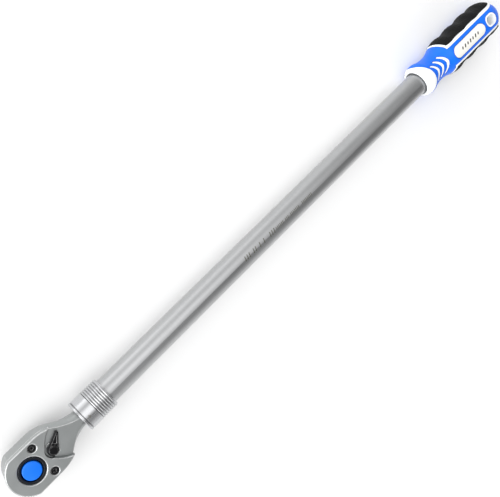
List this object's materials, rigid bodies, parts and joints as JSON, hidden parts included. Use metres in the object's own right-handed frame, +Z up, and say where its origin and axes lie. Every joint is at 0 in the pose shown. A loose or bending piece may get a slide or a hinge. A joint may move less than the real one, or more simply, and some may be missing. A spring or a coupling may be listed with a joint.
{
  "type": "ratcheting extension breaker bar",
  "caption": "Ratcheting breaker bar with a half inch square drive, reversing lever, quick release button, telescopic tube with a ribbed locking sleeve and a moulded grip.",
  "frame": {"origin": "centre of the drive square's end face, the lowest point of the tool", "axes": "+X along the bar from the drive to the grip, +Z up through the head's lever side, -Z out of the drive square"},
  "size_m": [0.6261, 0.0376, 0.045],
  "materials": {
    "satin_chrome": "satin chrome plate over a forged steel head",
    "satin_tube": "satin nickel-chrome tube, brushed round",
    "bright_chrome": "turned and chrome plated",
    "black_steel": "black oxide finish",
    "dark_steel": "phosphated alloy steel",
    "tool_steel": "ground hardened steel",
    "spring_steel": "oiled spring steel",
    "bronze": "sintered bronze",
    "blue_plastic": "moulded button, satin",
    "blue_grip": "moulded grip shell, satin",
    "white_plastic": "moulded grip core, satin",
    "panel_plastic": "inlaid panel, satin",
    "black_rubber": "soft moulded rubber, fine grain"
  },
  "bodies": {
    "head": {"head_forging": "satin_chrome", "cover_plate": "satin_chrome", "cover_screws": "black_steel", "pawl_pin": "tool_steel", "guide_bush": "bronze", "bush_ring": "spring_steel"},
    "drive": {"drive_gear": "dark_steel", "release_spring": "spring_steel"},
    "button": {"release_button": "blue_plastic", "release_pin": "tool_steel"},
    "socket_ball": {"socket_ball": "tool_steel"},
    "lever": {"reversing_lever": "black_steel", "lever_clip": "spring_steel", "pawl_plunger": "tool_steel", "plunger_spring": "spring_steel"},
    "pawl": {"pawl": "tool_steel"},
    "bar": {"outer_tube": "satin_tube", "lock_barrel": "tool_steel", "front_ring": "spring_steel", "rear_ring": "spring_steel", "sleeve_spring": "spring_steel", "tube_plug": "white_plastic", "handle_core": "white_plastic", "handle_shell": "blue_grip", "grip_pad_left": "black_rubber", "grip_pad_right": "black_rubber", "name_panel_top": "panel_plastic", "name_panel_bottom": "panel_plastic"},
    "sleeve": {"lock_sleeve": "bright_chrome"},
    "lock_ball_1": {"lock_ball_1": "tool_steel"},
    "lock_ball_2": {"lock_ball_2": "tool_steel"},
    "lock_ball_3": {"lock_ball_3": "tool_steel"}
  },
  "joints": [
    {"name": "telescope_slide", "type": "slide", "parent": "head", "child": "bar", "axis": [1, 0, 0], "range_m": [0, 0.21]},
    {"name": "sleeve_slide", "type": "slide", "parent": "bar", "child": "sleeve", "axis": [1, 0, 0], "range_m": [0, 0.004], "stiffness_N_per_m": 900, "springref_m": -0.004, "deforming": ["sleeve_spring"]},
    {"name": "lever_swing", "type": "hinge", "parent": "head", "child": "lever", "pos_m": [0.0204, 0, 0.0255], "axis": [0, 0, 1], "range_deg": [-76, 0]},
    {"name": "pawl_rock", "type": "hinge", "parent": "head", "child": "pawl", "pos_m": [0.0144, 0, 0.0255], "axis": [0, 0, 1], "range_deg": [-0.2, 9]},
    {"name": "drive_spin", "type": "hinge", "parent": "head", "child": "drive", "pos_m": [0, 0, 0.0255], "axis": [0, 0, 1], "continuous": true},
    {"name": "button_press", "type": "slide", "parent": "drive", "child": "button", "axis": [0, 0, -1], "range_m": [0, 0.003], "stiffness_N_per_m": 1500, "springref_m": -0.002, "deforming": ["release_spring"]},
    {"name": "socket_ball_slide", "type": "slide", "parent": "drive", "child": "socket_ball", "axis": [0, -1, 0], "range_m": [0, 0.00097]},
    {"name": "lock_ball_1_slide", "type": "slide", "parent": "bar", "child": "lock_ball_1", "axis": [0, 0, 1], "range_m": [0, 0.00121]},
    {"name": "lock_ball_2_slide", "type": "slide", "parent": "bar", "child": "lock_ball_2", "axis": [0, 0.866, -0.5], "range_m": [0, 0.00121]},
    {"name": "lock_ball_3_slide", "type": "slide", "parent": "bar", "child": "lock_ball_3", "axis": [0, -0.866, -0.5], "range_m": [0, 0.00121]}
  ],
  "couplings": [
    {"joint": "pawl_rock", "follows": "lever_swing", "ratio": -0.11579},
    {"joint": "socket_ball_slide", "follows": "button_press", "ratio": 0.32},
    {"joint": "lock_ball_1_slide", "follows": "sleeve_slide", "ratio": 0.3},
    {"joint": "lock_ball_2_slide", "follows": "sleeve_slide", "ratio": 0.3},
    {"joint": "lock_ball_3_slide", "follows": "sleeve_slide", "ratio": 0.3}
  ]
}
